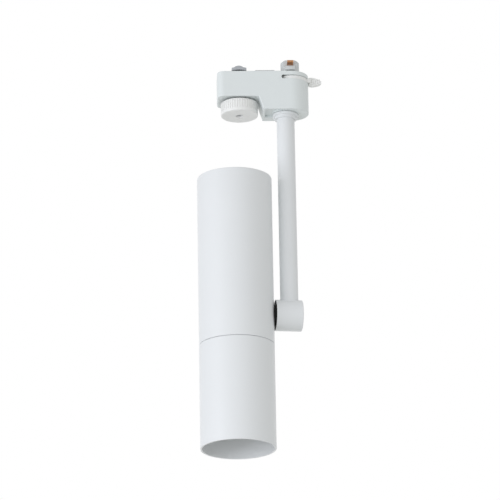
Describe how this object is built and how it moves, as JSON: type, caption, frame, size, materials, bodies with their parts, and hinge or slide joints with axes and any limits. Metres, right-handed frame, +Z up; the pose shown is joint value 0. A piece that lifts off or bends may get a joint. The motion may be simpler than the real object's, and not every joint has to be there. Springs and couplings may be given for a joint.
{
  "type": "track spotlight",
  "caption": "Round barrel spotlight on a side-mounted tube stem with pan and tilt, hung from a rail adapter with a turn lever and a ribbed lock knob.",
  "frame": {"origin": "where the stem's pan axis meets the adapter's deck, in the plane of the rail's underside", "axes": "+Z up, out of the deck into the rail; +X along the rail, towards the turn lever; -Y is the side of the lever's slot"},
  "size_m": [0.1022, 0.06, 0.3276],
  "materials": {
    "white_powder_coat": "fine satin powder coat on aluminium",
    "white_polycarbonate": "moulded, fine spark-eroded texture",
    "grey_polycarbonate": "moulded, plain",
    "natural_acetal": "moulded, waxy",
    "black_nylon": "moulded, matt",
    "black_rubber": "matt",
    "brown_silicone": "smooth insulation",
    "blue_silicone": "smooth insulation",
    "zinc_steel": "bright zinc plate",
    "spring_steel": "drawn wire, bright",
    "pin_steel": "nickel plate",
    "bronze_contact": "phosphor bronze strip",
    "bare_aluminium": "turned",
    "lamp_aluminium": "satin white coat on cast aluminium",
    "lamp_lens": "clear, moulded",
    "led_board": "white solder mask",
    "socket_ceramic": "unglazed steatite"
  },
  "bodies": {
    "adapter": {"adapter_housing": "white_polycarbonate", "adapter_cover": "grey_polycarbonate", "cover_screws": "zinc_steel", "pan_bush": "natural_acetal", "adapter_live_wire": "brown_silicone", "adapter_neutral_wire": "blue_silicone", "lock_spring": "spring_steel"},
    "turret": {"contact_turret": "grey_polycarbonate", "turn_lever": "white_polycarbonate", "lever_screws": "zinc_steel", "turret_live_wire": "brown_silicone", "turret_neutral_wire": "blue_silicone"},
    "live_blade": {"live_contact": "bronze_contact"},
    "neutral_blade": {"neutral_contact": "bronze_contact"},
    "lock_clip": {"lock_clip": "spring_steel"},
    "lock": {"lock_knob": "white_polycarbonate", "lock_shaft": "zinc_steel", "lock_plate": "zinc_steel", "lock_plate_nut": "zinc_steel", "knob_screw": "zinc_steel"},
    "stem": {"stem_nipple": "zinc_steel", "pan_washer": "natural_acetal", "pan_stop_washer": "zinc_steel", "pan_nut": "zinc_steel", "stem_collar": "white_powder_coat", "stem_tube": "white_powder_coat", "tube_inserts": "zinc_steel", "knuckle_nipple": "zinc_steel", "knuckle_body": "white_powder_coat", "knuckle_cap": "white_powder_coat", "stem_live_wire": "brown_silicone", "stem_neutral_wire": "blue_silicone"},
    "head": {"saddle_spacer": "black_nylon", "tilt_axle": "zinc_steel", "tilt_washer": "zinc_steel", "tilt_nut": "zinc_steel", "clamp_plate": "zinc_steel", "axle_nut": "zinc_steel", "upper_barrel": "white_powder_coat", "top_cap": "white_powder_coat", "coupling_ring": "bare_aluminium", "grip_ring": "black_rubber", "socket_bridge": "zinc_steel", "bridge_screws": "zinc_steel", "lamp_socket": "socket_ceramic", "socket_screws": "zinc_steel", "head_live_wire": "brown_silicone", "head_neutral_wire": "blue_silicone"},
    "front": {"front_barrel": "white_powder_coat"},
    "lamp": {"lamp_shell": "lamp_aluminium", "lamp_lens": "lamp_lens", "lamp_board": "led_board", "lamp_pins": "pin_steel"}
  },
  "joints": [
    {"name": "pan", "type": "hinge", "parent": "adapter", "child": "stem", "pos_m": [0, 0, -0.03], "axis": [0, 0, 1], "range_deg": [-177, 165]},
    {"name": "tilt", "type": "hinge", "parent": "stem", "child": "head", "pos_m": [0, 0, -0.2039], "axis": [0.9943, 0.1063, 0], "range_deg": [-90, 90]},
    {"name": "lever_turn", "type": "hinge", "parent": "adapter", "child": "turret", "pos_m": [0.0043, 0, -0.005], "axis": [0, 0, 1], "range_deg": [-90, 0]},
    {"name": "live_contact_press", "type": "slide", "parent": "turret", "child": "live_blade", "axis": [0, -1, 0], "range_m": [0, 0.0008], "stiffness_N_per_m": 1500},
    {"name": "neutral_contact_press", "type": "slide", "parent": "turret", "child": "neutral_blade", "axis": [0, 1, 0], "range_m": [0, 0.0008], "stiffness_N_per_m": 1500},
    {"name": "lock_press", "type": "slide", "parent": "adapter", "child": "lock_clip", "axis": [0, 0, 1], "range_m": [0, 0.0015], "stiffness_N_per_m": 900, "springref_m": -0.004, "deforming": ["lock_spring"]},
    {"name": "lock_turn", "type": "hinge", "parent": "lock_clip", "child": "lock", "pos_m": [-0.0373, 0, -0.0286], "axis": [0, 0, 1], "range_deg": [-90, 0]},
    {"name": "front_barrel_pull", "type": "slide", "parent": "head", "child": "front", "axis": [0, 0, -1], "range_m": [0, 0.1]},
    {"name": "lamp_pull", "type": "slide", "parent": "head", "child": "lamp", "axis": [0, 0, -1], "range_m": [0, 0.09]}
  ]
}
